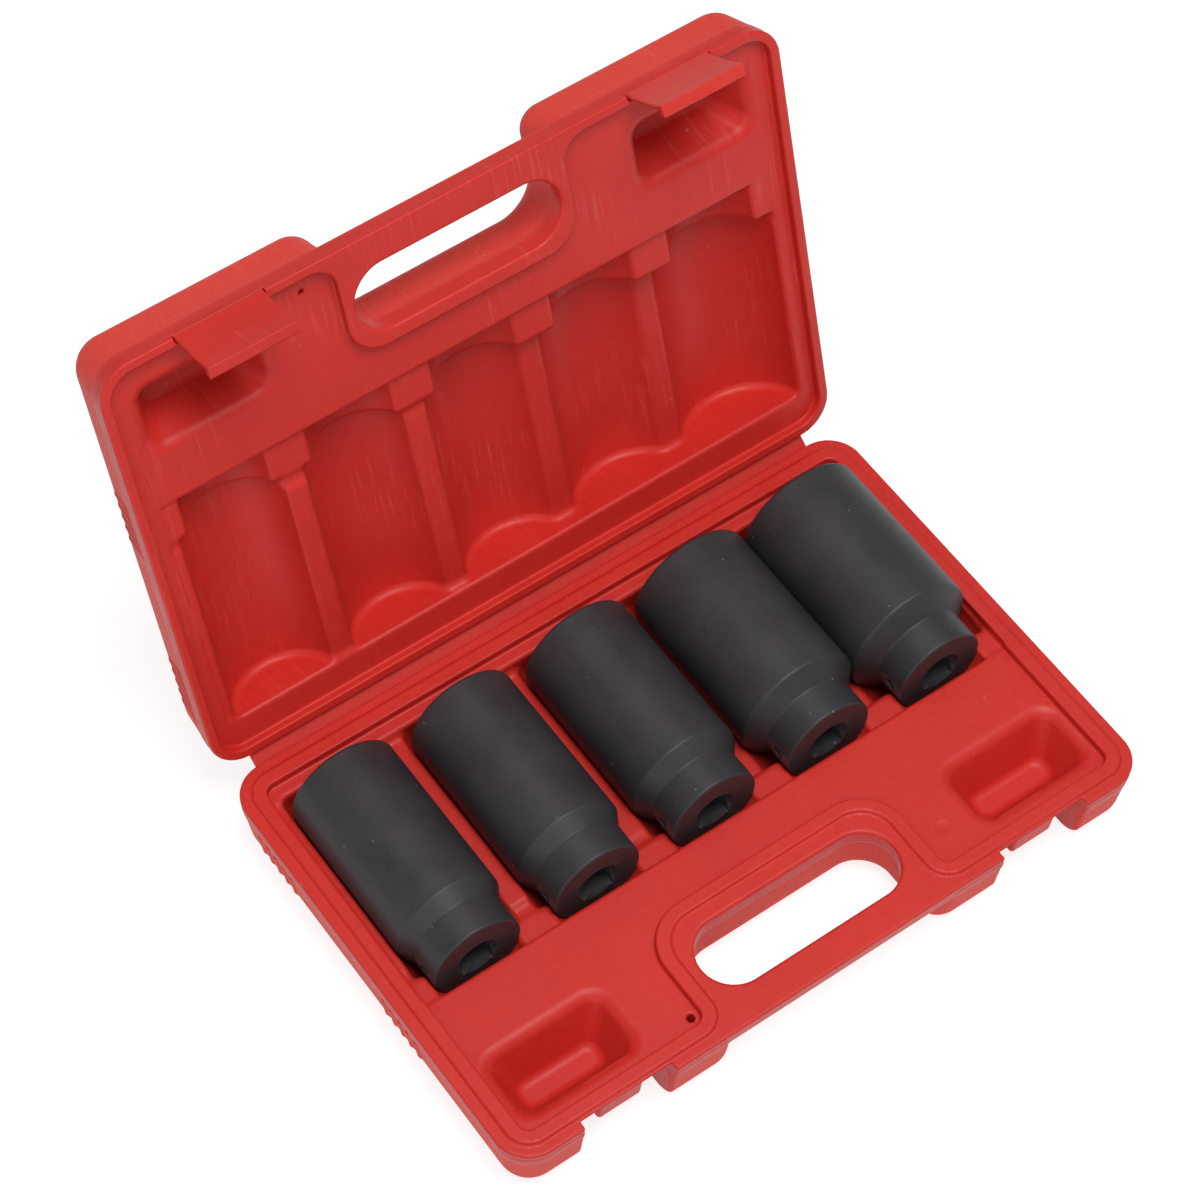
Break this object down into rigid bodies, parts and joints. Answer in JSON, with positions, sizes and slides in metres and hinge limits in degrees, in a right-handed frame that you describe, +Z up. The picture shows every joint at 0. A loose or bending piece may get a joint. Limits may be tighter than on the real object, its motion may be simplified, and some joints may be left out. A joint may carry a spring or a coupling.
{
  "type": "socket set in case",
  "caption": "Deep impact sockets lying in half-round beds of a folding double-walled plastic case with snap latches, a handle slot and small-parts pockets.",
  "frame": {"origin": "centre of the base's underside", "axes": "+X along the hinge to the right, -Y towards the handle, +Z up"},
  "size_m": [0.2724, 0.2605, 0.2175],
  "materials": {
    "case_outer_plastic": "fine moulded grain",
    "case_inner_plastic": "smooth satin",
    "socket_steel": "black phosphate, satin"
  },
  "bodies": {
    "base": {"base_outer_shell": "case_outer_plastic", "base_inner_tray": "case_inner_plastic"},
    "web": {"hinge_web": "case_outer_plastic"},
    "lid": {"lid_outer_shell": "case_outer_plastic", "lid_inner_tray": "case_inner_plastic"},
    "latch_left": {"latch_tab_left": "case_outer_plastic"},
    "latch_right": {"latch_tab_right": "case_outer_plastic"},
    "socket_29mm_body": {"socket_29mm": "socket_steel"},
    "socket_30mm_body": {"socket_30mm": "socket_steel"},
    "socket_32mm_body": {"socket_32mm": "socket_steel"},
    "socket_34mm_body": {"socket_34mm": "socket_steel"},
    "socket_36mm_body": {"socket_36mm": "socket_steel"}
  },
  "joints": [
    {"name": "web_fold", "type": "hinge", "parent": "base", "child": "web", "pos_m": [0, 0.09195, 0.0254], "axis": [-1, 0, 0], "range_deg": [-52.86, 37.14]},
    {"name": "lid_fold", "type": "hinge", "parent": "web", "child": "lid", "pos_m": [0, 0.09673, 0.02902], "axis": [-1, 0, 0], "range_deg": [-52.86, 37.14]},
    {"name": "latch_left_flex", "type": "hinge", "parent": "lid", "child": "latch_left", "pos_m": [-0.08825, 0.14434, 0.2048], "axis": [-1, 0, 0], "range_deg": [-14, 20]},
    {"name": "latch_right_flex", "type": "hinge", "parent": "lid", "child": "latch_right", "pos_m": [0.09105, 0.14434, 0.2048], "axis": [-1, 0, 0], "range_deg": [-30, 4]},
    {"name": "socket_29mm_lift", "type": "slide", "parent": "base", "child": "socket_29mm_body", "axis": [0, 0, 1], "range_m": [0, 0.08]},
    {"name": "socket_30mm_lift", "type": "slide", "parent": "base", "child": "socket_30mm_body", "axis": [0, 0, 1], "range_m": [0, 0.08]},
    {"name": "socket_32mm_lift", "type": "slide", "parent": "base", "child": "socket_32mm_body", "axis": [0, 0, 1], "range_m": [0, 0.08]},
    {"name": "socket_34mm_lift", "type": "slide", "parent": "base", "child": "socket_34mm_body", "axis": [0, 0, 1], "range_m": [0, 0.08]},
    {"name": "socket_36mm_lift", "type": "slide", "parent": "base", "child": "socket_36mm_body", "axis": [0, 0, 1], "range_m": [0, 0.08]}
  ],
  "couplings": [
    {"joint": "lid_fold", "follows": "web_fold", "ratio": 1}
  ]
}
